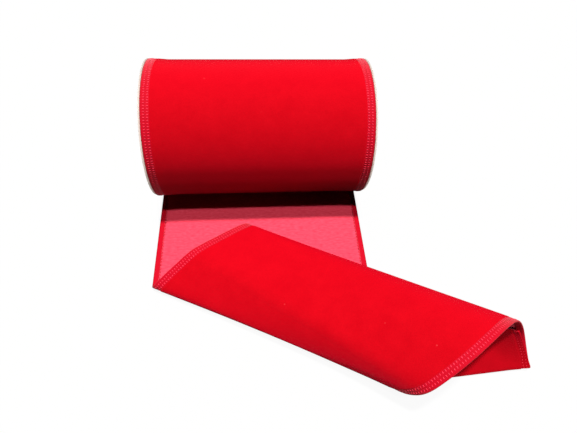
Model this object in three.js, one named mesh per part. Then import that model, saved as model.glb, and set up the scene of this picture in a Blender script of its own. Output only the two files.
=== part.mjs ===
// A roll of velvet ribbon with its end pulled out and folded over into a soft loop.
// Millimetres, +Z up. The roll's axis lies along X and the loose end comes out towards -Y.
// The origin is on the table, under the middle of the roll.
import * as THREE from 'three';
import { mergeVertices } from 'three/addons/utils/BufferGeometryUtils.js';

// The ribbon and its roll
const RIBBON_WIDTH = 100;
const RIBBON_THICKNESS = 1.1;
const ROLL_RADIUS = 31.5;
const HEM_BAND_WIDTH = 4.3;
const HEM_BAND_RISE = 0.15;
const HEM_BAND_SLOPE = 0.8;
const ROLL_EDGE_DROP = 0.3;
const ROLL_EDGE_ROUND = 1;
const ROLL_STEPS_AROUND = 96;

// The card discs at the roll's ends, pressed slightly flat where they stand
const DISC_RADIUS = 32.4;
const DISC_THICKNESS = 1;
const DISC_RIM_ROUND = 0.3;
const AXIS_HEIGHT = 32.3;
const CLEARANCE = 0.3;

// The loose end lies flat with its back up, then folds over along a slanting line.
// Strip lengths run from the roll's lowest line. The left edge folds sooner than the right one.
const TAIL_TUCK = 5;
const TAIL_SKEW = THREE.MathUtils.degToRad(0.35);
const FOLD_SLANT = THREE.MathUtils.degToRad(25.8);
const FOLD_START = { left: 66.9, right: 108 };

// How far the strip slides along the fold line for each millimetre that it runs across it
const SLIDE = { left: 0.506, right: 0.567 };

// The loop, from the fold in front over the top and down behind. Each row is one bend:
// its length in millimetres and its turn in degrees, at the left and at the right edge.
const BENDS = [
  { name: 'front fold', left: { run: 6.9, turn: 150 }, right: { run: 12.1, turn: 60 } },
  { name: 'rise', left: { run: 16, turn: 2 }, right: { run: 11.8, turn: 33 } },
  { name: 'brow', left: { run: 6.1, turn: 40 }, right: { run: 6.5, turn: 40 } },
  { name: 'panel', left: { run: 23, turn: 0 }, right: { run: 18.1, turn: 25 } },
  { name: 'crest', left: { run: 5.8, turn: 121 }, right: { run: 33.7, turn: 107 } },
  { name: 'back', left: { run: 7, turn: 30 }, right: { run: 18.6, turn: 62 } },
  { name: 'landing', left: { run: 6, turn: 17 }, right: { run: 4, turn: 33 } },
  { name: 'foot', left: { run: 36, turn: 0 }, right: { run: 36, turn: 0 } },
];
const BENDS_UP_TO_CREST = 5;
const STEPS_IN_BEND = 8;
const SOFTENING_PASSES = 2;
const SOFTENING_REACH = 2;

// Behind the loop the cloth comes down on the flat part, or on the table beyond its right edge
const LAYER_GAP = 0.4;
const LANDING_SOFTNESS = 0.4;
const STEP_DOWN = { from: 51, to: 57 };

// The cut end is turned back inside the loop. Its fold is square to the right edge,
// and towards the left edge it slants so that it stays inside the front fold.
const END_FOLD_RIGHT = 223;
const END_FOLD_RIGHT_SLANT = 12;
const END_FOLD_LEFT = 171;
const END_FOLD_LEFT_SLANT = 78;
const TURNBACK = { left: 15, right: 17 };

// The grid of the sheet: columns across the ribbon and rows along it
const COLUMNS = 16;
const FLAT_ROWS = 6;
const END_FOLD_ROWS = 5;
const TURNBACK_ROWS = 10;

const VELVET = new THREE.MeshStandardMaterial({ color: 0xd8061c, roughness: 0.95, metalness: 0 });
const CARD = new THREE.MeshStandardMaterial({ color: 0xfff3df, roughness: 0.8, metalness: 0 });

function mesh(name, geometry, material) {
  const piece = new THREE.Mesh(geometry, material);
  piece.name = name;
  return piece;
}

// Turns a profile of (radius, x) points round the roll's axis and presses it flat at `floor`.
function turned(profile, floor) {
  const lathe = new THREE.LatheGeometry(profile, ROLL_STEPS_AROUND);
  lathe.rotateZ(-Math.PI / 2);
  lathe.translate(0, 0, AXIS_HEIGHT);
  const points = lathe.attributes.position;
  for (let i = 0; i < points.count; i += 1) {
    points.setZ(i, Math.max(points.getZ(i), floor));
  }
  lathe.deleteAttribute('normal');
  lathe.deleteAttribute('uv');
  return mergeVertices(lathe, 1e-4);
}

// The wound form: an even drum whose stitched edges stand a little proud
function woundRoll() {
  const end = RIBBON_WIDTH / 2;
  const band = end - HEM_BAND_WIDTH;
  const profile = [
    [0, -end],
    [ROLL_RADIUS - ROLL_EDGE_DROP, -end],
    [ROLL_RADIUS + HEM_BAND_RISE, -end + ROLL_EDGE_ROUND],
    [ROLL_RADIUS + HEM_BAND_RISE, -band - HEM_BAND_SLOPE],
    [ROLL_RADIUS, -band],
    [ROLL_RADIUS, band],
    [ROLL_RADIUS + HEM_BAND_RISE, band + HEM_BAND_SLOPE],
    [ROLL_RADIUS + HEM_BAND_RISE, end - ROLL_EDGE_ROUND],
    [ROLL_RADIUS - ROLL_EDGE_DROP, end],
    [0, end],
  ].map(([radius, x]) => new THREE.Vector2(radius, x));
  return turned(profile, RIBBON_THICKNESS + CLEARANCE);
}

// A plain card disc with a softened rim, its inner face at x = 0
function endDisc() {
  const rim = DISC_RADIUS - DISC_RIM_ROUND;
  const profile = [
    [0, 0],
    [rim, 0],
    [DISC_RADIUS, DISC_RIM_ROUND],
    [DISC_RADIUS, DISC_THICKNESS - DISC_RIM_ROUND],
    [rim, DISC_THICKNESS],
    [0, DISC_THICKNESS],
  ].map(([radius, x]) => new THREE.Vector2(radius, x));
  return turned(profile, 0);
}

const ALONG_FOLD = new THREE.Vector3(Math.cos(FOLD_SLANT), -Math.sin(FOLD_SLANT), 0);
const ACROSS_FOLD = new THREE.Vector3(Math.sin(FOLD_SLANT), Math.cos(FOLD_SLANT), 0);
const UP = new THREE.Vector3(0, 0, 1);

// A place on the flat part of the loose end, at strip length s and side 0 (left) to 1 (right)
function flatPoint(s, side) {
  const start = new THREE.Vector3(-RIBBON_WIDTH / 2, 0, RIBBON_THICKNESS / 2);
  const across = new THREE.Vector3(Math.cos(TAIL_SKEW), -Math.sin(TAIL_SKEW), 0);
  const along = new THREE.Vector3(-Math.sin(TAIL_SKEW), -Math.cos(TAIL_SKEW), 0);
  return start.addScaledVector(across, side * RIBBON_WIDTH).addScaledVector(along, s);
}

// Evens out a list of headings, so that one bend runs softly into the next
function soften(headings) {
  const last = headings.length - 1;
  const at = (i) => {
    if (i < 0) return 0;
    return headings[Math.min(i, last)];
  };
  return headings.map((_, i) => {
    let sum = 0;
    for (let k = -SOFTENING_REACH; k <= SOFTENING_REACH; k += 1) sum += at(i + k);
    return sum / (2 * SOFTENING_REACH + 1);
  });
}

// One edge of the looped part, as the middle line of the cloth and its strip lengths.
// A heading of 0 runs towards the viewer, square to the fold, and 90 degrees is upright.
function loopEdge(side) {
  const runs = [];
  let headings = [];
  let heading = 0;
  for (const bend of BENDS) {
    const { run, turn } = bend[side];
    for (let i = 0; i < STEPS_IN_BEND; i += 1) {
      runs.push(run / STEPS_IN_BEND);
      headings.push(heading + THREE.MathUtils.degToRad(turn) * ((i + 0.5) / STEPS_IN_BEND));
    }
    heading += THREE.MathUtils.degToRad(turn);
  }
  for (let pass = 0; pass < SOFTENING_PASSES; pass += 1) headings = soften(headings);

  const stretch = Math.hypot(1, SLIDE[side]);
  let point = flatPoint(FOLD_START[side], side === 'left' ? 0 : 1);
  let length = FOLD_START[side];
  const stations = [{ point, length }];
  runs.forEach((run, i) => {
    point = point.clone()
      .addScaledVector(ALONG_FOLD, run * SLIDE[side])
      .addScaledVector(ACROSS_FOLD, -run * Math.cos(headings[i]))
      .addScaledVector(UP, run * Math.sin(headings[i]));
    length += run * stretch;
    stations.push({ point, length });
  });
  return stations;
}

// The least height of the cloth's middle where it comes down again behind the loop
function restingHeight(x) {
  const onTable = RIBBON_THICKNESS / 2;
  const onFlatPart = onTable + RIBBON_THICKNESS + LAYER_GAP;
  const down = THREE.MathUtils.smoothstep(x, STEP_DOWN.from, STEP_DOWN.to);
  return THREE.MathUtils.lerp(onFlatPart, onTable, down);
}

// The larger of two heights, rounded off where they meet
function softMaximum(a, b, softness) {
  return (a + b + Math.hypot(a - b, softness)) / 2;
}

// The middle surface of the cloth: straight lines from the left edge to the right one.
// Returns the place at strip length s on the column `side`.
function clothSurface() {
  const left = loopEdge('left');
  const right = loopEdge('right');
  const stationLength = (i, side) => left[i].length * (1 - side) + right[i].length * side;
  return (s, side) => {
    if (s <= stationLength(0, side)) return flatPoint(s, side);
    let i = 0;
    while (i < left.length - 2 && stationLength(i + 1, side) < s) i += 1;
    const from = stationLength(i, side);
    const share = (s - from) / (stationLength(i + 1, side) - from);
    const onLeft = left[i].point.clone().lerp(left[i + 1].point, share);
    const onRight = right[i].point.clone().lerp(right[i + 1].point, share);
    const point = onLeft.lerp(onRight, side);
    if (i >= BENDS_UP_TO_CREST * STEPS_IN_BEND) {
      point.z = softMaximum(point.z, restingHeight(point.x), LANDING_SOFTNESS);
    }
    return point;
  };
}

// Where the end of the ribbon is folded back, on the column `side`
function endFoldAt(side) {
  const square = END_FOLD_RIGHT - END_FOLD_RIGHT_SLANT * (1 - side);
  const slanted = END_FOLD_LEFT + END_FOLD_LEFT_SLANT * side;
  return Math.min(square, slanted);
}

// Unit normal of the cloth on its back side, from the surface's own slopes a little way round
function backNormal(surface, s, side) {
  const reach = 0.6;
  const sideReach = 0.01;
  const lower = Math.max(side - sideReach, 0);
  const upper = Math.min(side + sideReach, 1);
  const along = surface(s + reach, side).sub(surface(s - reach, side));
  const across = surface(s, upper).sub(surface(s, lower));
  return across.cross(along).negate().normalize();
}

// The rows of one column: middle point and back-side normal, from the roll to the cut end
function columnRows(surface, side) {
  const rows = [];
  const foldStart = FOLD_START.left * (1 - side) + FOLD_START.right * side;
  const endFold = endFoldAt(side);
  const place = (s) => {
    rows.push({ point: surface(s, side), normal: backNormal(surface, s, side) });
  };
  for (let i = 0; i < FLAT_ROWS; i += 1) {
    place(-TAIL_TUCK + ((foldStart + TAIL_TUCK) * i) / FLAT_ROWS);
  }
  const loopRows = BENDS.length * STEPS_IN_BEND;
  for (let i = 0; i <= loopRows; i += 1) {
    place(foldStart + ((endFold - foldStart) * i) / loopRows);
  }

  const last = rows[rows.length - 1];
  const radius = (RIBBON_THICKNESS + LAYER_GAP) / 2;
  const centre = last.point.clone().addScaledVector(last.normal, radius);
  const ahead = last.point.clone().sub(rows[rows.length - 2].point);
  ahead.addScaledVector(last.normal, -ahead.dot(last.normal)).normalize();
  for (let i = 1; i <= END_FOLD_ROWS; i += 1) {
    const angle = (Math.PI * i) / (END_FOLD_ROWS + 1);
    const normal = last.normal.clone().multiplyScalar(Math.cos(angle));
    normal.addScaledVector(ahead, -Math.sin(angle));
    rows.push({ point: centre.clone().addScaledVector(normal, -radius), normal });
  }

  const turnback = TURNBACK.left * (1 - side) + TURNBACK.right * side;
  for (let i = 0; i <= TURNBACK_ROWS; i += 1) {
    const s = endFold - (turnback * i) / TURNBACK_ROWS;
    const normal = backNormal(surface, s, side);
    const point = surface(s, side).addScaledVector(normal, 2 * radius);
    rows.push({ point, normal: normal.negate() });
  }
  return rows;
}

// The loose end as one closed sheet of even thickness
function looseEnd() {
  const surface = clothSurface();
  const columns = [];
  for (let j = 0; j <= COLUMNS; j += 1) columns.push(columnRows(surface, j / COLUMNS));
  const rowCount = columns[0].length;
  const positions = [];
  for (const face of [1, -1]) {
    for (const rows of columns) {
      for (const { point, normal } of rows) {
        const corner = point.clone().addScaledVector(normal, (face * RIBBON_THICKNESS) / 2);
        positions.push(corner.x, corner.y, corner.z);
      }
    }
  }
  const backFace = (j, i) => j * rowCount + i;
  const pileFace = (j, i) => (COLUMNS + 1 + j) * rowCount + i;
  const triangles = [];
  const quad = (a, b, c, d) => triangles.push(a, b, c, a, c, d);
  for (let j = 0; j < COLUMNS; j += 1) {
    for (let i = 0; i < rowCount - 1; i += 1) {
      quad(backFace(j, i), backFace(j, i + 1), backFace(j + 1, i + 1), backFace(j + 1, i));
      quad(pileFace(j, i), pileFace(j + 1, i), pileFace(j + 1, i + 1), pileFace(j, i + 1));
    }
    const end = rowCount - 1;
    quad(backFace(j, 0), backFace(j + 1, 0), pileFace(j + 1, 0), pileFace(j, 0));
    quad(backFace(j, end), pileFace(j, end), pileFace(j + 1, end), backFace(j + 1, end));
  }
  for (let i = 0; i < rowCount - 1; i += 1) {
    quad(backFace(0, i), pileFace(0, i), pileFace(0, i + 1), backFace(0, i + 1));
    quad(backFace(COLUMNS, i), backFace(COLUMNS, i + 1), pileFace(COLUMNS, i + 1), pileFace(COLUMNS, i));
  }
  const geometry = new THREE.BufferGeometry();
  geometry.setAttribute('position', new THREE.Float32BufferAttribute(positions, 3));
  geometry.setIndex(triangles);
  return geometry;
}

const part = new THREE.Group();

part.add(mesh('wound_roll', woundRoll(), VELVET));

const discOffset = RIBBON_WIDTH / 2 + CLEARANCE;
const rightDisc = mesh('end_disc_right', endDisc(), CARD);
rightDisc.position.x = discOffset;
part.add(rightDisc);

const leftDisc = mesh('end_disc_left', endDisc(), CARD);
leftDisc.position.x = -discOffset - DISC_THICKNESS;
part.add(leftDisc);

part.add(mesh('loose_end', looseEnd(), VELVET));

export default part;
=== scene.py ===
import math

import bmesh
import bpy
import numpy as np
from mathutils import Matrix, Vector


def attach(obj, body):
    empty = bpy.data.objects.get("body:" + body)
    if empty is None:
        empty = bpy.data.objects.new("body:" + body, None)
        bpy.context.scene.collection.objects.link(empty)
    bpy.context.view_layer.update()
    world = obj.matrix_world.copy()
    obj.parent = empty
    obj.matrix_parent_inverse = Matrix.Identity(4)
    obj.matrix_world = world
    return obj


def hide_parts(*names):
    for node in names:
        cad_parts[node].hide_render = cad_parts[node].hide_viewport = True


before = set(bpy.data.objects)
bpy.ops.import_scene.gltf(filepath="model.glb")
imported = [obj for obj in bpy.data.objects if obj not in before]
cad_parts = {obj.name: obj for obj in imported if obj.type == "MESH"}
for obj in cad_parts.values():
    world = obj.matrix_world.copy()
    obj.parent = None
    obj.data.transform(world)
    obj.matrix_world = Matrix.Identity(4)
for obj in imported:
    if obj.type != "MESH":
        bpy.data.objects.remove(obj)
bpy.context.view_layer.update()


# Camera
# The view of the photograph: a quarter of a metre away above the loose end, looking steeply down
# and a little to the right, and tilted slightly.
mm = 0.001
photo_width = 577
focal_length_in_pixels = 460.7
sensor_width = 36

camera = bpy.data.objects.new("camera", bpy.data.cameras.new("camera"))
camera.data.sensor_width = sensor_width
camera.data.lens = focal_length_in_pixels * sensor_width / photo_width
camera.data.clip_start = 10 * mm
camera_place = Vector((-4.1, -167.5, 191.5)) * mm
looks_down = math.radians(54.33)
looks_right = math.radians(7.55)
tilt = math.radians(4.67)
camera.matrix_world = (
    Matrix.Translation(camera_place)
    @ Matrix.Rotation(-looks_right, 4, "Z")
    @ Matrix.Rotation(math.pi / 2 - looks_down, 4, "X")
    @ Matrix.Rotation(tilt, 4, "Z")
)
bpy.context.scene.collection.objects.link(camera)
bpy.context.scene.camera = camera


# Studio
# A pale, nearly shadowless table and two soft lamps overhead, one almost straight above the roll
# and a weaker one towards the viewer, as the two shadow edges on the loose end show. The room is
# dim: low fill lights in front and behind open the shade, and two at the sides light the discs.
floor_radius = 3
floor_corners = 64
floor_drop = 0.1 * mm
table_glow = 0.93
room_light = 0.003

# Each lamp's strength, and in degrees how far it leans towards the viewer and how wide it looks
lamps = {
    "lamp_above": {"strength": 4.05, "towards_viewer": -3.4, "spread": 4.5},
    "lamp_in_front": {"strength": 1.6, "towards_viewer": 11, "spread": 3.5},
}

# Each fill light's place in metres and its power in watts. They are squares of half a metre.
fill_size = 0.5
fill_lights = {
    "fill_in_front": {"place": (0.3, -1.1, 0.08), "power": 4.6},
    "fill_behind": {"place": (-0.1, 1.1, 0.15), "power": 4.0},
    "fill_left": {"place": (-0.9, -0.8, 0.12), "power": 10.0},
    "fill_right": {"place": (0.9, -0.8, 0.12), "power": 10.0},
}


def linear(hex_colour):
    """An sRGB hex colour as linear red, green, blue and alpha."""
    channels = [int(hex_colour[i:i + 2], 16) / 255 for i in (1, 3, 5)]
    return (*[c / 12.92 if c <= 0.04045 else ((c + 0.055) / 1.055) ** 2.4 for c in channels], 1)


def add_node(tree, kind, inputs=None, **settings):
    """Adds a node with its settings. An input's value is a plain value or the socket that feeds it."""
    node = tree.nodes.new(kind)
    for name, value in settings.items():
        setattr(node, name, value)
    for socket, value in (inputs or {}).items():
        if isinstance(value, bpy.types.NodeSocket):
            tree.links.new(value, node.inputs[socket])
        else:
            node.inputs[socket].default_value = value
    return node


def new_material(name):
    """An empty node material and its tree."""
    material = bpy.data.materials.new(name)
    material.use_nodes = True
    material.node_tree.nodes.clear()
    return material, material.node_tree


def new_piece(name, vertices, faces, materials=()):
    """A mesh object from its points and faces, smooth all over."""
    mesh = bpy.data.meshes.new(name)
    mesh.from_pydata([tuple(v) for v in vertices], [], faces)
    for material in materials:
        mesh.materials.append(material)
    mesh.shade_smooth()
    piece = bpy.data.objects.new(name, mesh)
    bpy.context.scene.collection.objects.link(piece)
    return piece


bpy.context.scene.view_settings.view_transform = "Standard"

# Matt white table top: much of its brightness is a glow of its own, so that shadows hardly show
table_top, tree = new_material("matt white table top")
lit = add_node(tree, "ShaderNodeBsdfDiffuse", {"Color": linear("#373736")})
glow = add_node(tree, "ShaderNodeEmission", {"Color": linear("#FFFFFF"), "Strength": table_glow})
both = add_node(tree, "ShaderNodeAddShader", {0: lit.outputs[0], 1: glow.outputs[0]})
add_node(tree, "ShaderNodeOutputMaterial", {"Surface": both.outputs[0]})

corners = [2 * math.pi * i / floor_corners for i in range(floor_corners)]
floor = new_piece(
    "floor",
    [(floor_radius * math.cos(a), floor_radius * math.sin(a), -floor_drop) for a in corners],
    [list(range(floor_corners))],
    [table_top],
)

# The contrast is steep, so the table throws no bounced light, and nor do the discs and the loose end
floor.visible_diffuse = False

# The room: pale walls to the eye, which give hardly any light
world = bpy.data.worlds.new("room")
bpy.context.scene.world = world
world.use_nodes = True
tree = world.node_tree
tree.nodes.clear()
seen = add_node(tree, "ShaderNodeLightPath").outputs["Is Camera Ray"]
dim = add_node(tree, "ShaderNodeBackground", {"Color": linear("#FFFFFF"), "Strength": room_light})
wall = add_node(tree, "ShaderNodeBackground", {"Color": linear("#FAFAFA"), "Strength": 1})
mixed = add_node(tree, "ShaderNodeMixShader", {"Fac": seen, 1: dim.outputs[0], 2: wall.outputs[0]})
add_node(tree, "ShaderNodeOutputWorld", {"Surface": mixed.outputs[0]})

for name, lamp in lamps.items():
    data = bpy.data.lights.new(name, "SUN")
    data.energy = lamp["strength"]
    data.angle = math.radians(lamp["spread"])
    sun = bpy.data.objects.new(name, data)
    sun.rotation_euler.x = math.radians(lamp["towards_viewer"])
    bpy.context.scene.collection.objects.link(sun)

for name, fill in fill_lights.items():
    data = bpy.data.lights.new(name, "AREA")
    data.energy = fill["power"]
    data.size = fill_size
    area = bpy.data.objects.new(name, data)
    fill["light"] = area
    area.location = fill["place"]
    area.rotation_euler = (-Vector(fill["place"])).to_track_quat("-Z", "Y").to_euler()
    bpy.context.scene.collection.objects.link(area)


# Wound roll
# Many turns of 100 mm velvet ribbon, pile outwards. The outermost turn leaves underneath towards
# the viewer, so the surface is one turn of a spiral with its step hidden on the table side.
# Each edge of the ribbon is a narrow turned hem held down by two rows of machine stitches.
ribbon_width = 100 * mm
axis_height = 32.3 * mm
roll_radius_underneath = 31.0 * mm
roll_radius_at_front = 31.15 * mm
roll_radius_at_back = 31.9 * mm
roll_radius_at_step = 32.1 * mm
turn_steps = 320

# The double cloth of the hems builds up from turn to turn, so the roll is fullest at its ends.
# There it is pressed flat underneath, just above the table.
hem_build_up = 0.75 * mm
build_up_reach = 8 * mm
least_height = 0.1 * mm

# The soft roll sags a little: low on the side towards the viewer its turns bulge. Where, and how
# far up and down, are shares of a turn.
sag_bulge = 0.85 * mm
sag_turn = 0.14
sag_reach = 0.055

# The hem, and its two rows of stitches by their distances from the edge. The rows on the roll start
# and stop just short of the hidden step.
hem_width = 3.8 * mm
stitch_rows = (1.5 * mm, 3.1 * mm)
stitch_pitch = 1.25 * mm
stitched_turns = (0.01, 0.99)
thread_sink = 0.19 * mm

# The face of the ribbon from its edge inwards, in millimetres: distance from the edge, and depth
# below the pile
FACE_PROFILE = [
    (0.0, 0.60),
    (0.12, 0.36),
    (0.4, 0.24),
    (0.9, 0.18),
    (1.5, 0.26),
    (2.3, 0.18),
    (3.1, 0.26),
    (3.5, 0.22),
    (3.75, 0.30),
    (4.0, 0.06),
    (4.4, 0.0),
    (5.0, 0.0),
]
middle_columns = 24


def across_ribbon(profile):
    """Distances across the ribbon from the left edge, with each one's depth or height, in metres."""
    near = [(distance * mm, depth * mm) for distance, depth in profile]
    start = near[-1][0]
    step = (ribbon_width - 2 * start) / middle_columns
    middle = [(start + step * i, near[-1][1]) for i in range(1, middle_columns)]
    far = [(ribbon_width - distance, depth) for distance, depth in reversed(near)]
    return near + middle + far


def stitch_group():
    """Geometry Nodes: beads of thread laid across each row line, square to the cloth."""
    group = bpy.data.node_groups.new("machine stitches", "GeometryNodeTree")
    sockets = {}
    for name, kind, value in (
        ("Row Lines", "NodeSocketGeometry", None),
        ("Pitch", "NodeSocketFloat", stitch_pitch),
        ("Stitch Length", "NodeSocketFloat", 1.1 * mm),
        ("Thread Width", "NodeSocketFloat", 0.42 * mm),
        ("Thread Height", "NodeSocketFloat", 0.18 * mm),
        ("Slant", "NodeSocketFloat", 0.0),
        ("Unevenness", "NodeSocketFloat", 0.12),
        ("Seed", "NodeSocketInt", 7),
        ("Thread", "NodeSocketMaterial", None),
    ):
        socket = group.interface.new_socket(name, in_out="INPUT", socket_type=kind)
        if value is not None:
            socket.default_value = value
        sockets[name] = socket.identifier
    group.interface.new_socket("Stitches", in_out="OUTPUT", socket_type="NodeSocketGeometry")
    given = add_node(group, "NodeGroupInput").outputs
    uneven = given["Unevenness"]
    less = add_node(group, "ShaderNodeMath", {0: uneven, 1: -1.0}, operation="MULTIPLY").outputs[0]

    rows = add_node(group, "GeometryNodeMeshToCurve", {"Mesh": given["Row Lines"]})
    spaced = add_node(
        group,
        "GeometryNodeResampleCurve",
        {"Curve": rows.outputs[0], "Length": given["Pitch"]},
        mode="LENGTH",
    )
    bead = add_node(
        group,
        "GeometryNodeMeshUVSphere",
        {"Segments": 8, "Rings": 5, "Radius": 0.5},
    )
    size = add_node(
        group,
        "ShaderNodeCombineXYZ",
        {0: given["Thread Width"], 1: given["Stitch Length"], 2: given["Thread Height"]},
    )
    thread = add_node(
        group,
        "GeometryNodeTransform",
        {"Geometry": bead.outputs["Mesh"], "Scale": size.outputs[0]},
    )
    out = add_node(
        group, "GeometryNodeInputNamedAttribute", {"Name": "out"}, data_type="FLOAT_VECTOR"
    )
    upright = add_node(
        group,
        "FunctionNodeAlignRotationToVector",
        {"Vector": out.outputs["Attribute"]},
        axis="Z",
    )
    tangent = add_node(group, "GeometryNodeInputTangent")
    along = add_node(
        group,
        "FunctionNodeAlignRotationToVector",
        {"Rotation": upright.outputs[0], "Vector": tangent.outputs[0]},
        axis="X",
        pivot_axis="Z",
    )
    index = add_node(group, "GeometryNodeInputIndex").outputs[0]
    odd = add_node(group, "ShaderNodeMath", {0: index, 1: 2.0}, operation="MODULO").outputs[0]
    sign = add_node(
        group, "ShaderNodeMath", {0: odd, 1: 2.0, 2: -1.0}, operation="MULTIPLY_ADD"
    ).outputs[0]
    wobble = add_node(
        group,
        "FunctionNodeRandomValue",
        {"Min": less, "Max": uneven, "Seed": given["Seed"]},
        data_type="FLOAT",
    )
    angle = add_node(
        group,
        "ShaderNodeMath",
        {0: sign, 1: given["Slant"], 2: wobble.outputs["Value"]},
        operation="MULTIPLY_ADD",
    )
    turn = add_node(
        group,
        "FunctionNodeAxisAngleToRotation",
        {"Axis": (0, 0, 1), "Angle": angle.outputs[0]},
    )
    turned = add_node(
        group,
        "FunctionNodeRotateRotation",
        {"Rotation": along.outputs[0], "Rotate By": turn.outputs[0]},
        rotation_space="LOCAL",
    )
    placed = add_node(
        group,
        "GeometryNodeInstanceOnPoints",
        {
            "Points": spaced.outputs[0],
            "Instance": thread.outputs[0],
            "Rotation": turned.outputs[0],
        },
    )
    real = add_node(group, "GeometryNodeRealizeInstances", {0: placed.outputs[0]})
    coloured = add_node(
        group,
        "GeometryNodeSetMaterial",
        {"Geometry": real.outputs[0], "Material": given["Thread"]},
    )
    add_node(group, "NodeGroupOutput", {0: coloured.outputs[0]})
    return group, sockets


def sew(name, rows, **inputs):
    """Sews stitches along rows of (points, outward directions) and returns them as one plain piece."""
    points = [p for row_points, _ in rows for p in row_points]
    directions = [d for _, row_directions in rows for d in row_directions]
    lines = bpy.data.meshes.new(name + "_rows")
    edges = []
    start = 0
    for row_points, _ in rows:
        edges += [(start + i, start + i + 1) for i in range(len(row_points) - 1)]
        start += len(row_points)
    lines.from_pydata([tuple(p) for p in points], edges, [])
    out = lines.attributes.new("out", "FLOAT_VECTOR", "POINT")
    out.data.foreach_set("vector", np.array(directions, np.float32).ravel())
    piece = bpy.data.objects.new(name, lines)
    bpy.context.scene.collection.objects.link(piece)
    modifier = piece.modifiers.new("stitches", "NODES")
    modifier.node_group = stitches
    for input_name, value in {"Thread": sewing_thread, **inputs}.items():
        modifier[stitch_inputs[input_name]] = value
    shown = piece.evaluated_get(bpy.context.evaluated_depsgraph_get())
    mesh = bpy.data.meshes.new_from_object(shown)
    piece.modifiers.clear()
    piece.data = mesh
    mesh.name = name
    mesh.shade_smooth()
    return piece


# One unit of the cloth's UV map
map_unit = 100 * mm


def cloth_map(mesh, distances):
    """Gives the mesh a UV map from its points' distances across and along the ribbon."""
    layer = mesh.uv_layers.new(name="cloth")
    corners = np.empty(len(mesh.loops), int)
    mesh.loops.foreach_get("vertex_index", corners)
    layer.data.foreach_set("uv", (np.array(distances)[corners] / map_unit).astype(np.float32).ravel())


# Rayon velvet: short dense pile, dyed deep red. It drinks the light that falls straight on it and
# glows at grazing angles: partly from its sheen, and partly from a painted sheen that lightens its
# colour towards grazing angles. The nap lies in faint clouds, and the odd speck of lint sits on it.
# The real tufts stand about 0.3 mm apart, and are drawn three times as coarse so that they show.
cloud_size = 7.7 * mm
tuft_spacing = 0.91 * mm
lint_spacing = 11 * mm
lint_size = 0.4 * mm
lint_strength = 0.14

# A noise texture keeps almost wholly between these two values
noise_low, noise_high = 0.3, 0.7

# Sockets of a Mix node set to colours: its two colours, and its result
colour_a, colour_b, mixed_colour = 6, 7, 2


def velvet_finish(name, low_colour, high_colour, painted_sheen_colour):
    """Velvet between two colours where the eye looks into the nap, and a painted sheen that lightens it
    towards grazing angles.
    """
    finish, tree = new_material(name)
    place = add_node(tree, "ShaderNodeTexCoord").outputs["Object"]
    clouds = add_node(
        tree,
        "ShaderNodeTexNoise",
        {"Vector": place, "Scale": 1 / cloud_size, "Detail": 3, "Roughness": 0.65},
    )
    tufts = add_node(
        tree,
        "ShaderNodeTexNoise",
        {"Vector": place, "Scale": 1 / tuft_spacing, "Detail": 2, "Roughness": 0.7},
    )
    nap = add_node(
        tree,
        "ShaderNodeMapRange",
        {"Value": clouds.outputs[0], "From Min": noise_low, "From Max": noise_high},
    )
    pile_colour = add_node(
        tree,
        "ShaderNodeMix",
        {"Factor": nap.outputs[0], colour_a: linear(low_colour), colour_b: linear(high_colour)},
        data_type="RGBA",
    )
    depth = add_node(
        tree,
        "ShaderNodeMapRange",
        {
            "Value": tufts.outputs[0],
            "From Min": noise_low,
            "From Max": noise_high,
            "To Min": 0.95,
            "To Max": 1.03,
        },
    )
    shaded = add_node(
        tree,
        "ShaderNodeMix",
        {"Factor": 1.0, colour_a: pile_colour.outputs[mixed_colour], colour_b: depth.outputs[0]},
        data_type="RGBA",
        blend_type="MULTIPLY",
    )
    # Painted sheen: the colour turns towards the last colour as the surface turns away from the eye
    painted_sheen_facing = add_node(tree, "ShaderNodeLayerWeight", {"Blend": 0.5})
    with_painted_sheen = add_node(
        tree,
        "ShaderNodeMix",
        {
            "Factor": painted_sheen_facing.outputs["Facing"],
            colour_a: shaded.outputs[mixed_colour],
            colour_b: linear(painted_sheen_colour),
        },
        data_type="RGBA",
    )
    specks = add_node(
        tree, "ShaderNodeTexVoronoi", {"Vector": place, "Scale": 1 / lint_spacing}
    )
    lint = add_node(
        tree,
        "ShaderNodeMapRange",
        {
            "Value": specks.outputs["Distance"],
            "From Min": 0.02,
            "From Max": lint_size / lint_spacing,
            "To Min": lint_strength,
            "To Max": 0.0,
        },
    )
    dusted = add_node(
        tree,
        "ShaderNodeMix",
        {
            "Factor": lint.outputs[0],
            colour_a: with_painted_sheen.outputs[mixed_colour],
            colour_b: linear("#FF6A70"),
        },
        data_type="RGBA",
    )
    tuft_relief = add_node(
        tree,
        "ShaderNodeBump",
        {"Height": tufts.outputs[0], "Strength": 0.3, "Distance": 0.2 * mm},
    )
    pile = add_node(
        tree,
        "ShaderNodeBsdfPrincipled",
        {
            "Base Color": dusted.outputs[mixed_colour],
            "Roughness": 0.9,
            "Specular IOR Level": 0.05,
            "Sheen Weight": 1.0,
            "Sheen Roughness": 0.45,
            "Sheen Tint": linear("#FF1038"),
            "Normal": tuft_relief.outputs[0],
        },
    )
    add_node(tree, "ShaderNodeOutputMaterial", {"Surface": pile.outputs[0]})
    return finish


# The last colour is the painted sheen
velvet = velvet_finish("red rayon velvet", "#B4000E", "#BC0211", "#D60018")

# The hem: the same cloth with its pile pressed flat by the sewing. Towards grazing angles its colour
# turns coral: a painted gloss. The real threads are about 0.3 mm thick, and are drawn coarser so that
# they show.
hem_thread_size = 0.714 * mm
painted_gloss_falloff = 3.0


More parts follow.
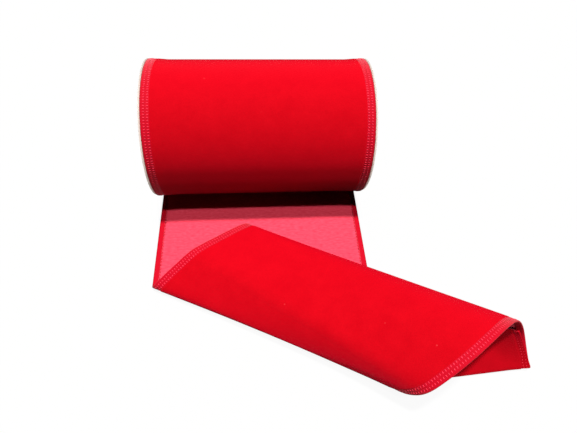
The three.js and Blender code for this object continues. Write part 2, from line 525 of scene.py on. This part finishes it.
def hem_finish(name, painted_gloss_colour):
    """Velvet with its pile pressed flat, and a painted gloss: its colour turns to the given colour
    towards grazing angles.
    """
    finish, tree = new_material(name)
    place = add_node(tree, "ShaderNodeTexCoord").outputs["Object"]
    threads = add_node(
        tree, "ShaderNodeTexNoise", {"Vector": place, "Scale": 1 / hem_thread_size, "Detail": 1}
    )
    dyed = add_node(
        tree,
        "ShaderNodeMix",
        {"Factor": threads.outputs[0], colour_a: linear("#B00018"), colour_b: linear("#C00420")},
        data_type="RGBA",
    )
    # Painted gloss: the colour turns towards the given colour as the cloth turns away from the eye
    painted_gloss_facing = add_node(tree, "ShaderNodeLayerWeight", {"Blend": 0.5})
    gloss = add_node(
        tree,
        "ShaderNodeMath",
        {0: painted_gloss_facing.outputs["Facing"], 1: painted_gloss_falloff},
        operation="POWER",
    )
    with_painted_gloss = add_node(
        tree,
        "ShaderNodeMix",
        {
            "Factor": gloss.outputs[0],
            colour_a: dyed.outputs[mixed_colour],
            colour_b: linear(painted_gloss_colour),
        },
        data_type="RGBA",
    )
    thread_relief = add_node(
        tree,
        "ShaderNodeBump",
        {"Height": threads.outputs[0], "Strength": 0.4, "Distance": 0.15 * mm},
    )
    pressed_pile = add_node(
        tree,
        "ShaderNodeBsdfPrincipled",
        {
            "Base Color": with_painted_gloss.outputs[mixed_colour],
            "Roughness": 0.75,
            "Specular IOR Level": 0.08,
            "Normal": thread_relief.outputs[0],
        },
    )
    add_node(tree, "ShaderNodeOutputMaterial", {"Surface": pressed_pile.outputs[0]})
    return finish


hem = hem_finish("red velvet hem, pile pressed flat", "#CC666C")

# Polyester thread: two plies twisted hard, so it shines softly and is ribbed along its length
ply_spacing = 0.4 * mm


def thread_finish(name, colour):
    """Twisted thread of one colour, its tone varying a little at random, at the size of its plies."""
    finish, tree = new_material(name)
    place = add_node(tree, "ShaderNodeTexCoord").outputs["Object"]
    plies = add_node(
        tree, "ShaderNodeTexNoise", {"Vector": place, "Scale": 1 / ply_spacing, "Detail": 1}
    )
    tone = add_node(
        tree,
        "ShaderNodeMapRange",
        {
            "Value": plies.outputs[0],
            "From Min": noise_low,
            "From Max": noise_high,
            "To Min": 0.85,
            "To Max": 1.1,
        },
    )
    dyed = add_node(
        tree,
        "ShaderNodeMix",
        {"Factor": 1.0, colour_a: linear(colour), colour_b: tone.outputs[0]},
        data_type="RGBA",
        blend_type="MULTIPLY",
    )
    twisted = add_node(
        tree,
        "ShaderNodeBsdfPrincipled",
        {"Base Color": dyed.outputs[mixed_colour], "Roughness": 0.55, "Specular IOR Level": 0.2},
    )
    add_node(tree, "ShaderNodeOutputMaterial", {"Surface": twisted.outputs[0]})
    return finish


sewing_thread = thread_finish("coral polyester thread", "#EA2A44")

stitches, stitch_inputs = stitch_group()
columns = across_ribbon(FACE_PROFILE)


def roll_radius(turn):
    """Radius after a share of a turn, from the step underneath up the front, over and down the back."""
    shares = (0, 0.25, 0.75, 1)
    radii = (
        roll_radius_underneath,
        roll_radius_at_front,
        roll_radius_at_back,
        roll_radius_at_step,
    )
    sag = sag_bulge * math.exp(-(((turn - sag_turn) / sag_reach) ** 2))
    return float(np.interp(turn, shares, radii)) + sag


def roll_point(turn, across, depth):
    """A point on the roll's face: turn 0 is underneath, and 0.25 faces the viewer."""
    angle = 2 * math.pi * turn
    from_end = min(across, ribbon_width - across)
    fuller = hem_build_up * max(1 - from_end / build_up_reach, 0)
    radius = roll_radius(turn) + fuller - depth
    return Vector((
        across - ribbon_width / 2,
        -radius * math.sin(angle),
        max(axis_height - radius * math.cos(angle), least_height),
    ))


def wound_roll():
    """The closed solid of the roll, with its hems as their own faces."""
    points_in_row = len(columns)
    vertices = []
    distances = []
    for i in range(turn_steps + 1):
        turn = i / turn_steps
        for across, depth in columns:
            vertices.append(roll_point(turn, across, depth))
            distances.append((across, 2 * math.pi * roll_radius(turn) * turn))
    first_centre = len(vertices)
    for across in (0, ribbon_width):
        vertices.append(Vector((across - ribbon_width / 2, 0, axis_height)))
        distances.append((across, 0))
    faces = []
    hem_faces = []
    for i in range(turn_steps + 1):
        a, b = i * points_in_row, ((i + 1) % (turn_steps + 1)) * points_in_row
        for j in range(points_in_row - 1):
            faces.append((a + j, a + j + 1, b + j + 1, b + j))
            at = (columns[j][0] + columns[j + 1][0]) / 2
            hem_faces.append(min(at, ribbon_width - at) < hem_width)
        faces.append((a, b, first_centre))
        faces.append((b + points_in_row - 1, a + points_in_row - 1, first_centre + 1))
        hem_faces += [True, True]
    piece = new_piece("wound_roll_velvet", vertices, faces, [velvet, hem])
    piece.data.polygons.foreach_set("material_index", [int(h) for h in hem_faces])
    cloth_map(piece.data, distances)
    return piece


roll = wound_roll()
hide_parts("wound_roll")
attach(roll, "root")

roll_rows = []
for row in stitch_rows:
    for across in (row, ribbon_width - row):
        turns = np.linspace(*stitched_turns, turn_steps)
        points = [roll_point(t, across, thread_sink) for t in turns]
        outward = [(0, -math.sin(2 * math.pi * t), -math.cos(2 * math.pi * t)) for t in turns]
        roll_rows.append((points, outward))
roll_stitches = sew("wound_roll_stitches", roll_rows)
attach(roll_stitches, "root")


# End discs
# Two thin discs of cream card close the ends of the roll and are about as wide as it is. The card
# is pasted from a few plies and die-cut, so the plies show as fine lines round the rim.
disc_radius = 32.0 * mm
disc_gap = 0.06 * mm
disc_set_back = 0.2 * mm
disc_steps = 256

# The rings of points on each face, as shares of the radius
FACE_RINGS = (0.2, 0.6)

# The rim from the inner face to the outer one, in millimetres: height from the inner face, and how
# far below the full radius. The last ply, from outer_ply_from on, takes the outer face's finish,
# painted paler as painted light.
outer_ply_from = 0.65
RIM_PROFILE = [
    (0.0, 0.10),
    (0.04, 0.03),
    (0.1, 0.0),
    (0.23, 0.0),
    (0.25, 0.03),
    (0.27, 0.0),
    (0.49, 0.0),
    (0.51, 0.03),
    (0.53, 0.0),
    (0.6, 0.0),
    (0.68, 0.03),
    (0.73, 0.1),
    (0.75, 0.2),
]

# Cream card with a calendered face: rolled smooth, so it has a faint shine, and the clouds and
# fibres of the pulp barely show
fibre_length = 1.43 * mm
blotch_size = 16.7 * mm

card, tree = new_material("cream card, calendered liner")
place = add_node(tree, "ShaderNodeTexCoord").outputs["Object"]
fibres = add_node(
    tree,
    "ShaderNodeTexNoise",
    {"Vector": place, "Scale": 1 / fibre_length, "Detail": 4, "Roughness": 0.65},
)
blotches = add_node(
    tree, "ShaderNodeTexNoise", {"Vector": place, "Scale": 1 / blotch_size, "Detail": 2}
)
mottle = add_node(
    tree,
    "ShaderNodeMath",
    {0: fibres.outputs[0], 1: blotches.outputs[0]},
    operation="MULTIPLY",
)
card_colour = add_node(
    tree,
    "ShaderNodeMix",
    {"Factor": mottle.outputs[0], colour_a: linear("#B9A9A0"), colour_b: linear("#A8978C")},
    data_type="RGBA",
)
fibre_relief = add_node(
    tree,
    "ShaderNodeBump",
    {"Height": fibres.outputs[0], "Strength": 0.2, "Distance": 0.1 * mm},
)
liner = add_node(
    tree,
    "ShaderNodeBsdfPrincipled",
    {
        "Base Color": card_colour.outputs[mixed_colour],
        "Roughness": 0.62,
        "Specular IOR Level": 0.35,
        "Normal": fibre_relief.outputs[0],
    },
)
add_node(tree, "ShaderNodeOutputMaterial", {"Surface": liner.outputs[0]})

# The outer face: the same card without its smooth coat, matt and with fine flecks, and painted paler
# than the rim: painted light for faces that only the dim side fills reach
fleck_size = 0.91 * mm

outer_card_painted_paler, tree = new_material("cream card, painted paler")
place = add_node(tree, "ShaderNodeTexCoord").outputs["Object"]
flecks = add_node(
    tree,
    "ShaderNodeTexNoise",
    {"Vector": place, "Scale": 1 / fleck_size, "Detail": 3, "Roughness": 0.7},
)
painted_paler_board_colour = add_node(
    tree,
    "ShaderNodeMix",
    {"Factor": flecks.outputs[0], colour_a: linear("#EAE4D8"), colour_b: linear("#FCF7EC")},
    data_type="RGBA",
)
fleck_relief = add_node(
    tree,
    "ShaderNodeBump",
    {"Height": flecks.outputs[0], "Strength": 0.3, "Distance": 0.1 * mm},
)
board = add_node(
    tree,
    "ShaderNodeBsdfPrincipled",
    {
        "Base Color": painted_paler_board_colour.outputs[mixed_colour],
        "Roughness": 0.85,
        "Specular IOR Level": 0.2,
        "Normal": fleck_relief.outputs[0],
    },
)
add_node(tree, "ShaderNodeOutputMaterial", {"Surface": board.outputs[0]})


def end_disc(name, side):
    """One disc; side is -1 for the left one and 1 for the right one."""
    inner_face = ribbon_width / 2 + disc_gap
    thickness = RIM_PROFILE[-1][0]
    rings = [(0.0, disc_radius * share) for share in FACE_RINGS]
    rings += [(height, disc_radius - drop * mm) for height, drop in RIM_PROFILE]
    rings += [(thickness, disc_radius * share) for share in reversed(FACE_RINGS)]
    vertices = []
    for height, radius in rings:
        for i in range(disc_steps):
            angle = 2 * math.pi * i / disc_steps
            vertices.append((
                side * (inner_face + height * mm),
                disc_set_back + radius * math.cos(angle),
                axis_height + radius * math.sin(angle),
            ))
    faces, finish_of_faces = [], []
    for r in range(len(rings) - 1):
        for i in range(disc_steps):
            a, b = r * disc_steps + i, r * disc_steps + (i + 1) % disc_steps
            quad = (a, b, b + disc_steps, a + disc_steps)
            faces.append(quad if side > 0 else quad[::-1])
            finish_of_faces.append(int(rings[r][0] >= outer_ply_from))
    last = (len(rings) - 1) * disc_steps
    inner_cap = list(range(disc_steps))
    outer_cap = list(range(last, last + disc_steps))
    faces.append(inner_cap[::-1] if side > 0 else inner_cap)
    faces.append(outer_cap if side > 0 else outer_cap[::-1])
    piece = new_piece(name, vertices, faces, [card, outer_card_painted_paler])
    piece.data.polygons.foreach_set("material_index", [*finish_of_faces, 0, 1])
    return piece


# The two fill lights at the sides light the discs alone
lit_from_the_side = bpy.data.collections.new("lit from the side")
for name in ("fill_left", "fill_right"):
    fill_lights[name]["light"].light_linking.receiver_collection = lit_from_the_side

for name, node, side in (
    ("card_disc_left", "end_disc_left", -1),
    ("card_disc_right", "end_disc_right", 1),
):
    disc = end_disc(name, side)
    lit_from_the_side.objects.link(disc)
    disc.visible_diffuse = False
    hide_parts(node)
    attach(disc, "root")


# Loose end
# The same ribbon pulled out from under the roll, back side up. It folds over on a slant into a
# soft loop with the pile outside, comes down behind, and its cut end is turned back inside.
# The fold lines run straight from edge to edge, so each edge has its own column of bends.
sheet_thickness = 1.1 * mm
tail_tuck = 0.5 * mm
tail_skew = math.radians(0.35)

# The fold line slants across the ribbon, and starts at these lengths along its two edges
fold_slant = math.radians(25.8)
fold_start = {"left": 66.9 * mm, "right": 108 * mm}

# How far each edge slides along the fold line for each millimetre that it runs across it
slide = {"left": 0.506, "right": 0.567}

# Each bend's name, and its length in millimetres and turn in degrees at the left and right edge
BENDS = [
    ("front fold", (6.9, 150), (12.1, 60)),
    ("rise", (16, 2), (11.8, 33)),
    ("brow", (6.1, 40), (6.5, 40)),
    ("panel", (23, 0), (18.1, 25)),
    ("crest", (5.8, 121), (33.7, 107)),
    ("back", (7, 30), (18.6, 62)),
    ("landing", (6, 17), (4, 33)),
    ("foot", (36, 0), (36, 0)),
]
steps_in_bend = 24

# The crest is the fifth bend
crest_end = 5 * steps_in_bend
softening_passes = 2
softening_reach = 6

# Behind the loop the cloth rests on its own flat part, and right of it steps down to the table
# between these two places along X
layer_gap = 0.4 * mm
landing_softness = 0.4 * mm
step_down = (51 * mm, 57 * mm)

# Strip lengths at which the end is folded back, on two lines that meet, and the turned-back part:
# how far it runs in, its slant, and how narrow it lies along its right edge
end_fold_right = 223 * mm
end_fold_right_slant = 12 * mm
end_fold_left = 171 * mm
end_fold_left_slant = 78 * mm
turnback = {"left": 15 * mm, "right": 19.4 * mm}
turnback_slant = math.radians(3.6)
turnback_edge_squeeze = 0.6
squeeze_reach = 5 * mm
squeeze_falloff = 4

# Within this distance of each edge the cloth keeps its full width, so that the hem stays even
edge_zone = 5 * mm

flat_rows = 24
loop_end_rows = 60
end_fold_rows = 10
turnback_rows = 20

# The back of the ribbon from its edge inwards, in millimetres: distance from the edge, and height
# above the middle. The hem is turned over onto the back as a band of double cloth.
BACK_PROFILE = [
    (0.0, 0.05),
    (0.12, 0.42),
    (0.4, 0.60),
    (1.0, 0.66),
    (1.6, 0.66),
    (2.2, 0.64),
    (2.5, 0.56),
    (2.75, 0.40),
    (3.2, 0.38),
    (4.0, 0.38),
    (4.5, 0.38),
    (5.0, 0.38),
]
band_width = 2.6 * mm
middle_to_pile = 0.55 * mm
shared_point_reach = 0.001 * mm

along_fold = np.array((math.cos(fold_slant), -math.sin(fold_slant), 0))
across_fold = np.array((math.sin(fold_slant), math.cos(fold_slant), 0))
upwards = np.array((0, 0, 1.0))


def flat_point(length, share):
    """A place on the flat part, at strip lengths and shares of the width from the left edge."""
    length, share = np.broadcast_arrays(length, share)
    start = np.array((-ribbon_width / 2, 0, sheet_thickness / 2))
    across = np.array((math.cos(tail_skew), -math.sin(tail_skew), 0))
    along = np.array((-math.sin(tail_skew), -math.cos(tail_skew), 0))
    return start + np.multiply.outer(share * ribbon_width, across) + np.multiply.outer(length, along)


def running_mean(values, reach, before, after):
    """The mean of each value and its neighbours, with values to use before and after the row."""
    padded = np.concatenate([np.full(reach, before), values, np.full(reach, after)])
    window = 2 * reach + 1
    return np.convolve(padded, np.full(window, 1 / window), mode="valid")


def loop_edge(side):
    """One edge of the looped part: the places of its middle line, and their strip lengths."""
    runs, headings, heading = [], [], 0.0
    for _, left, right in BENDS:
        run, turn = left if side == "left" else right
        for i in range(steps_in_bend):
            runs.append(run * mm / steps_in_bend)
            headings.append(heading + math.radians(turn) * (i + 0.5) / steps_in_bend)
        heading += math.radians(turn)
    runs, headings = np.array(runs), np.array(headings)
    for _ in range(softening_passes):
        headings = running_mean(headings, softening_reach, 0, headings[-1])
    steps = (
        np.multiply.outer(runs * slide[side], along_fold)
        + np.multiply.outer(-runs * np.cos(headings), across_fold)
        + np.multiply.outer(runs * np.sin(headings), upwards)
    )
    start = flat_point(fold_start[side], 0.0 if side == "left" else 1.0)
    places = start + np.vstack([np.zeros(3), np.cumsum(steps, axis=0)])
    stretched = np.cumsum(runs) * math.hypot(1, slide[side])
    return places, fold_start[side] + np.concatenate([[0], stretched])


left_places, left_lengths = loop_edge("left")
right_places, right_lengths = loop_edge("right")


def resting_height(x):
    """The least height of the cloth's middle where it comes down behind the loop."""
    on_table = sheet_thickness / 2
    on_flat_part = on_table + sheet_thickness + layer_gap
    t = np.clip((x - step_down[0]) / (step_down[1] - step_down[0]), 0, 1)
    down = t * t * (3 - 2 * t)
    return on_flat_part * (1 - down) + on_table * down


def cloth_middle(length, share):
    """The middle surface at strip lengths `length`, each at its `share` of the width."""
    length, share = np.broadcast_arrays(np.asarray(length, float), np.asarray(share, float))
    stations = left_lengths + np.multiply.outer(share, right_lengths - left_lengths)
    index = (stations <= length[:, None]).sum(axis=1) - 1
    index = np.clip(index, 0, len(left_lengths) - 2)
    row = np.arange(len(length))
    start, end = stations[row, index], stations[row, index + 1]
    part = np.clip((length - start) / (end - start), 0, 1)[:, None]
    left = left_places[index] * (1 - part) + left_places[index + 1] * part
    right = right_places[index] * (1 - part) + right_places[index + 1] * part
    places = left * (1 - share[:, None]) + right * share[:, None]
    flat = length <= stations[:, 0]
    places[flat] = flat_point(length[flat], share[flat])
    behind = length >= stations[:, crest_end]
    rest = resting_height(places[:, 0])

    # The higher of the two, with a soft corner where they meet
    lifted = (places[:, 2] + rest + np.hypot(places[:, 2] - rest, landing_softness)) / 2
    places[behind, 2] = lifted[behind]
    return places


def slopes(length, share):
    """The surface's directions along and across the cloth, by central differences."""
    reach, side_reach = 0.6 * mm, 0.01
    along = cloth_middle(length + reach, share) - cloth_middle(length - reach, share)
    lower, upper = np.clip(share - side_reach, 0, 1), np.clip(share + side_reach, 0, 1)
    across = cloth_middle(length, upper) - cloth_middle(length, lower)
    return along, across / (upper - lower)[:, None]


def back_normal(length, share):
    """Unit normals of the cloth on its back side."""
    normal = np.cross(*slopes(length, share))
    return normal / np.linalg.norm(normal, axis=1)[:, None]


def end_fold_at(share):
    """The strip length at which the end is folded back."""
    square = end_fold_right - end_fold_right_slant * (1 - share)
    slanted = end_fold_left + end_fold_left_slant * share
    return min(square, slanted)


def width_along(edge):
    """How wide the cloth lies near one edge, at every millimetre of its length, evened out."""
    just_inside, evening_reach = 0.01, 4
    grid = np.arange(0, end_fold_at(edge), mm)
    along, across = slopes(grid, np.full(len(grid), abs(edge - just_inside)))
    widths = np.linalg.norm(np.cross(along, across), axis=1) / np.linalg.norm(along, axis=1)
    return grid, running_mean(widths, evening_reach, widths[0], widths[-1])


widths_at_edge = {edge: width_along(edge) for edge in (0, 1)}


def share_across(across, length):
    """The share of the width at a distance from the left edge. The two edge zones keep their width."""
    near_left = edge_zone / np.interp(length, *widths_at_edge[0])
    near_right = 1 - edge_zone / np.interp(length, *widths_at_edge[1])
    if across <= edge_zone:
        return near_left * across / edge_zone
    if across >= ribbon_width - edge_zone:
        return 1 - (1 - near_right) * (ribbon_width - across) / edge_zone
    part = (across - edge_zone) / (ribbon_width - 2 * edge_zone)
    return near_left * (1 - part) + near_right * part


def column_rows(across):
    """Middle places, back-side normals and strip lengths of one column, from the roll to the cut."""
    share = across / ribbon_width
    stations = left_lengths * (1 - share) + right_lengths * share
    end_fold = end_fold_at(share)
    lengths = np.concatenate([
        np.linspace(-tail_tuck, stations[0], flat_rows, endpoint=False),
        stations[:crest_end],
        np.linspace(stations[crest_end], end_fold, loop_end_rows),
    ])
    shares = share_across(across, lengths)
    places = cloth_middle(lengths, shares)
    normals = back_normal(lengths, shares)

    radius = (sheet_thickness + layer_gap) / 2
    centre = places[-1] + normals[-1] * radius
    ahead = places[-1] - places[-2]
    ahead -= normals[-1] * (ahead @ normals[-1])
    ahead /= np.linalg.norm(ahead)
    angles = math.pi * np.arange(1, end_fold_rows + 1) / (end_fold_rows + 1)
    bend = np.multiply.outer(np.cos(angles), normals[-1]) - np.multiply.outer(np.sin(angles), ahead)
    bend_places = centre - bend * radius
    bend_lengths = end_fold + radius * angles

    turned = turnback["left"] * (1 - share) + turnback["right"] * share
    back_along = np.linspace(0, turned, turnback_rows)
    drift = back_along * math.tan(turnback_slant) / ribbon_width
    squeeze = (1 - turnback_edge_squeeze) * np.clip(back_along / squeeze_reach, 0, 1)
    from_right = min(ribbon_width - across, edge_zone)
    aside = squeeze * from_right * (1 - (from_right / edge_zone) ** squeeze_falloff) / ribbon_width
    under_shares = np.clip(share_across(across, end_fold - back_along) - drift + aside, 0, 1)
    under = cloth_middle(end_fold - back_along, under_shares)
    under_normals = back_normal(end_fold - back_along, under_shares)
    turned_places = under + under_normals * 2 * radius
    turned_lengths = end_fold + math.pi * radius + back_along
    return (
        np.vstack([places, bend_places, turned_places]),
        np.vstack([normals, bend, -under_normals]),
        np.concatenate([lengths, bend_lengths, turned_lengths]),
    )


# Woven cotton back: a plain weave in a paler pinkish red, matt and streaked by its uneven yarns.
# The real yarns lie about 0.3 mm apart, and are drawn twice as coarse so that they show. At scale 1
# a Wave Texture repeats 20 times in 2 pi units of its map. The slubs run across the ribbon.
yarn_spacing = 0.604 * mm
yarn_scale = 2 * math.pi / 20 * map_unit / yarn_spacing
slub_length = 2.22 * mm
slub_thickness = 0.769 * mm

backing, tree = new_material("pink-red plain-woven cotton back")
cloth_uv = add_node(tree, "ShaderNodeUVMap", uv_map="cloth").outputs[0]
yarns_across = add_node(
    tree,
    "ShaderNodeTexWave",
    {"Vector": cloth_uv, "Scale": yarn_scale, "Distortion": 0.8, "Detail": 2, "Detail Scale": 2},
    bands_direction="X",
)
yarns_along = add_node(
    tree,
    "ShaderNodeTexWave",
    {"Vector": cloth_uv, "Scale": yarn_scale, "Distortion": 0.6, "Detail": 1, "Detail Scale": 2},
    bands_direction="Y",
)
weave = add_node(
    tree,
    "ShaderNodeMath",
    {0: yarns_across.outputs["Fac"], 1: yarns_along.outputs["Fac"]},
    operation="ADD",
)
stretched = add_node(
    tree,
    "ShaderNodeMapping",
    {"Vector": cloth_uv, "Scale": (map_unit / slub_length, map_unit / slub_thickness, 1)},
)
slubs = add_node(
    tree, "ShaderNodeTexNoise", {"Vector": stretched.outputs[0], "Scale": 1, "Detail": 4}
)
slub_tone = add_node(
    tree,
    "ShaderNodeMapRange",
    {"Value": slubs.outputs[0], "From Min": noise_low, "From Max": noise_high},
)
back_colour = add_node(
    tree,
    "ShaderNodeMix",
    {"Factor": slub_tone.outputs[0], colour_a: linear("#DD3148"), colour_b: linear("#E9465B")},
    data_type="RGBA",
)
weave_relief = add_node(
    tree,
    "ShaderNodeBump",
    {"Height": weave.outputs[0], "Strength": 0.3, "Distance": 0.12 * mm},
)
cotton = add_node(
    tree,
    "ShaderNodeBsdfPrincipled",
    {
        "Base Color": back_colour.outputs[mixed_colour],
        "Roughness": 0.85,
        "Specular IOR Level": 0.2,
        "Sheen Weight": 0.1,
        "Normal": weave_relief.outputs[0],
    },
)
add_node(tree, "ShaderNodeOutputMaterial", {"Surface": cotton.outputs[0]})

# The velvet of the turned-back end and of its cut edge is a darker red: partly its nap, which points
# away from the eye, and partly painted shade for the shadow of the loop above it. The hem band on the
# back turns a darker red, not coral, towards grazing angles: painted shade for the inside of the loop.
velvet_nap_away_painted_shade = velvet_finish("red rayon velvet, nap away, painted shade", "#94000B", "#9C000D", "#A80010")
hem_on_back_painted_shade = hem_finish("red velvet hem on the back, painted shade", "#8C0414")


def loose_end():
    """The sheet as one closed mesh: pile face, back face, and the turned hems along its edges."""
    face_columns = across_ribbon(FACE_PROFILE)
    back_columns = across_ribbon(BACK_PROFILE)
    from_middle = [(across, depth - middle_to_pile) for across, depth in face_columns] + back_columns
    vertices, distances = [], []
    for across, height in from_middle:
        places, normals, lengths = column_rows(across)
        vertices.append(places + normals * height)
        distances.append(np.stack([np.full(len(lengths), across), lengths], axis=1))
    row_count = len(vertices[0])
    column_count = len(face_columns)
    finishes = [velvet, hem, backing, velvet_nap_away_painted_shade, hem_on_back_painted_shade]
    faces, finish_of_faces = [], []

    def pile_side(j, i):
        return j * row_count + i

    def back_side(j, i):
        return (column_count + j) * row_count + i

    def add_face(corners, finish):
        faces.append(corners)
        finish_of_faces.append(finishes.index(finish))

    last = row_count - 1
    end = column_count - 1
    for j in range(end):
        at = (face_columns[j][0] + face_columns[j + 1][0]) / 2
        on_face = hem if min(at, ribbon_width - at) < hem_width else velvet
        at = (back_columns[j][0] + back_columns[j + 1][0]) / 2
        # The hem band on the back darkens towards grazing angles: painted shade
        on_back = hem_on_back_painted_shade if min(at, ribbon_width - at) < band_width else backing
        for i in range(last):
            # The turned-back end takes the darker velvet: painted shade, and partly its nap
            turned_back = i >= last - turnback_rows - end_fold_rows // 2
            add_face(
                (pile_side(j, i), pile_side(j + 1, i), pile_side(j + 1, i + 1), pile_side(j, i + 1)),
                velvet_nap_away_painted_shade if turned_back else on_face,
            )
            add_face(
                (back_side(j, i), back_side(j, i + 1), back_side(j + 1, i + 1), back_side(j + 1, i)),
                on_back,
            )
        add_face((back_side(j, 0), back_side(j + 1, 0), pile_side(j + 1, 0), pile_side(j, 0)), hem)
        add_face(
            # The cut edge takes the darker velvet too: painted shade
            (back_side(j, last), pile_side(j, last), pile_side(j + 1, last), back_side(j + 1, last)),
            velvet_nap_away_painted_shade,
        )
    for i in range(last):
        add_face((back_side(0, i), pile_side(0, i), pile_side(0, i + 1), back_side(0, i + 1)), hem)
        add_face(
            (back_side(end, i), back_side(end, i + 1), pile_side(end, i + 1), pile_side(end, i)),
            hem,
        )
    piece = new_piece("loose_end_cloth", np.vstack(vertices), faces, finishes)
    piece.visible_diffuse = False
    piece.data.polygons.foreach_set("material_index", finish_of_faces)
    cloth_map(piece.data, np.vstack(distances))

    # The pile side and the back run into each other at the two edges, so they share their points there
    joined = bmesh.new()
    joined.from_mesh(piece.data)
    bmesh.ops.remove_doubles(joined, verts=joined.verts, dist=shared_point_reach)
    joined.to_mesh(piece.data)
    joined.free()
    return piece


sheet = loose_end()
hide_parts("loose_end")
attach(sheet, "root")

# The stitches of the loose end: two rows near each edge on the pile side, which lie deeper in the
# crushed pile of the turned-back end, and on the back a fine zigzag over the raw edge of the hem
turned_thread_sink = 0.32 * mm
zigzag_height = 0.55 * mm
face_rows, zigzag_rows = [], []
for row in stitch_rows:
    for across in (row, ribbon_width - row):
        places, normals, _ = column_rows(across)
        depths = np.full((len(places), 1), thread_sink)
        depths[-turnback_rows:] = turned_thread_sink
        face_rows.append((places - normals * (middle_to_pile - depths), -normals))
for across in (band_width, ribbon_width - band_width):
    places, normals, _ = column_rows(across)
    zigzag_rows.append((places + normals * zigzag_height, normals))
face_stitches = sew("loose_end_stitches", face_rows)
zigzag = sew(
    "loose_end_zigzag",
    zigzag_rows,
    **{
        "Thread": thread_finish("crimson polyester overlock thread", "#B4041C"),
        "Pitch": 0.85 * mm,
        "Stitch Length": 1.3 * mm,
        "Thread Width": 0.4 * mm,
        "Thread Height": 0.26 * mm,
        "Slant": math.radians(20),
    },
)
for piece in (face_stitches, zigzag):
    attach(piece, "root")
